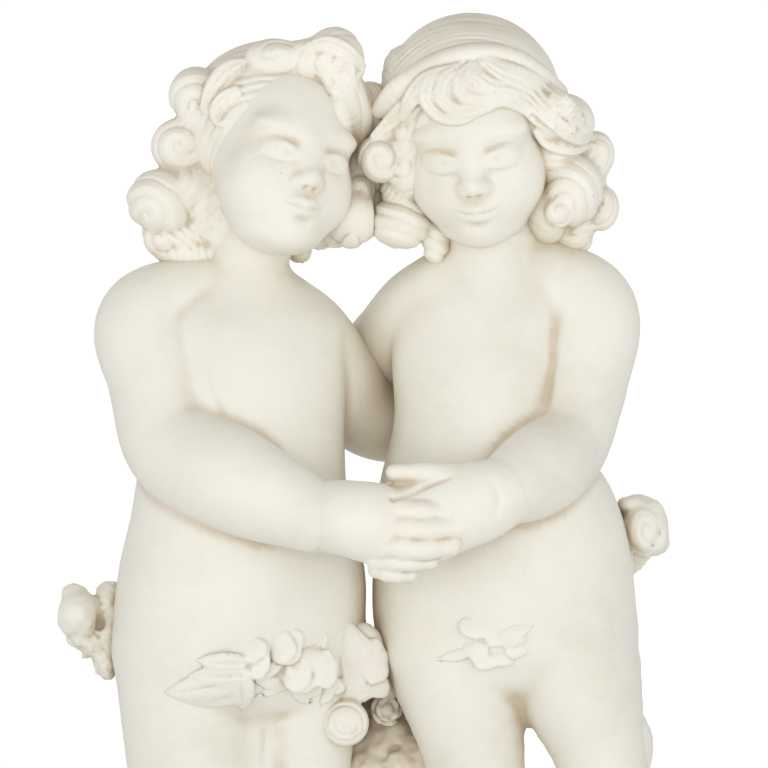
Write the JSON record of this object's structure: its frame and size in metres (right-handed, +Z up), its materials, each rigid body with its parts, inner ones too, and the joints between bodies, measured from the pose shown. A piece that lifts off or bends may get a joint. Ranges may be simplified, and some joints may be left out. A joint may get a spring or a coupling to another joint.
{
  "type": "marble statue of two children",
  "caption": "White marble group of two standing curly-haired children, arms about each other and hands joined, with rose garlands and a stump on a low base.",
  "frame": {"origin": "middle of the outline box at the level of the flat underside", "axes": "+Z up along the figures, front of the group towards -Y, +X to the right of someone looking at the front"},
  "size_m": [0.536, 0.372, 1.0478],
  "materials": {
    "marble": "honed white marble with warm patina in the recesses"
  },
  "bodies": {
    "root": {"marble_group": "marble"}
  },
  "joints": []
}
